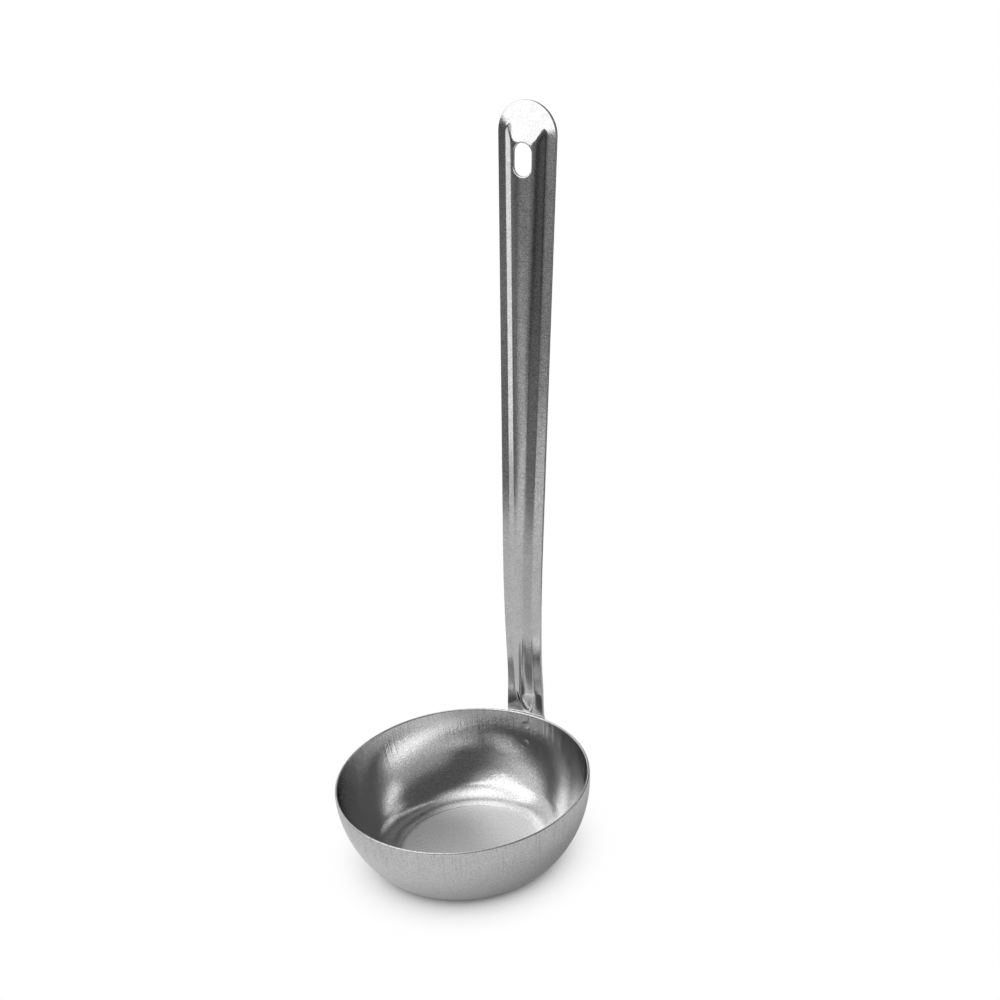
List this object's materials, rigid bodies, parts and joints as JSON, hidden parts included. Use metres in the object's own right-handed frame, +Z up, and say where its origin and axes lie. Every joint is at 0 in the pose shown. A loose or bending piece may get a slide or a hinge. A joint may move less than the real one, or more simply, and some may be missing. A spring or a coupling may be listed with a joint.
{
  "type": "ladle",
  "caption": "Stainless steel soup ladle with a shallow flat-bottomed bowl and a leaning strip handle stiffened by a pressed rib, with a hanging slot at its end.",
  "frame": {"origin": "the centre of the bowl's flat underside", "axes": "+Z up, square to the flat underside; the handle stands on the +Y side and leans that way; X = 0 is the plane of symmetry"},
  "size_m": [0.09, 0.1302, 0.2515],
  "materials": {
    "bowl_steel": "satin",
    "handle_steel": "satin",
    "weld_steel": "satin"
  },
  "bodies": {
    "root": {"bowl": "bowl_steel", "handle": "handle_steel", "spot_welds": "weld_steel"}
  },
  "joints": []
}
